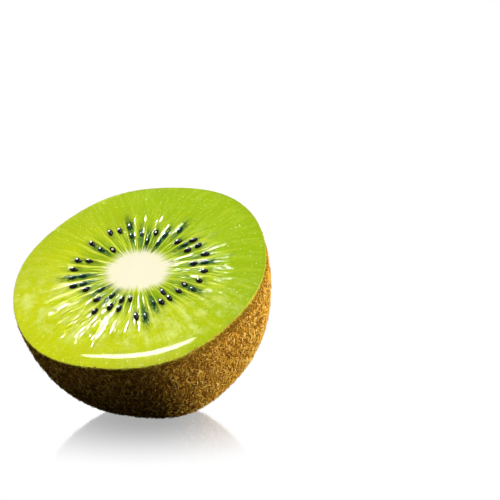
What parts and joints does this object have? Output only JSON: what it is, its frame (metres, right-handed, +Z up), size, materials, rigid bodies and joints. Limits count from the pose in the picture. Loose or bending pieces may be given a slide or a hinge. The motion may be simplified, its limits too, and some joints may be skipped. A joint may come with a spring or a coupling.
{
  "type": "kiwi fruit half",
  "caption": "Half of a green kiwi fruit, cut across its middle: an oval wet face with a pale core and a ring of dark seeds, lying tilted on its fuzzy brown skin.",
  "frame": {"origin": "on the surface it lies on, under the middle of its box", "axes": "+Z up; +X level and in the plane of the cut, to the right as seen facing it; the open face looks towards -Y and up"},
  "size_m": [0.0516, 0.0484, 0.046],
  "materials": {
    "flesh": "wet, slightly translucent yellow-green fruit flesh with pale rays",
    "core": "moist, fine-grained cream-white core",
    "seed": "glossy black-brown seed coat, wet",
    "skin": "thin matt brown skin with golden fuzz"
  },
  "bodies": {
    "root": {"flesh": "flesh", "core": "core"}
  },
  "joints": []
}
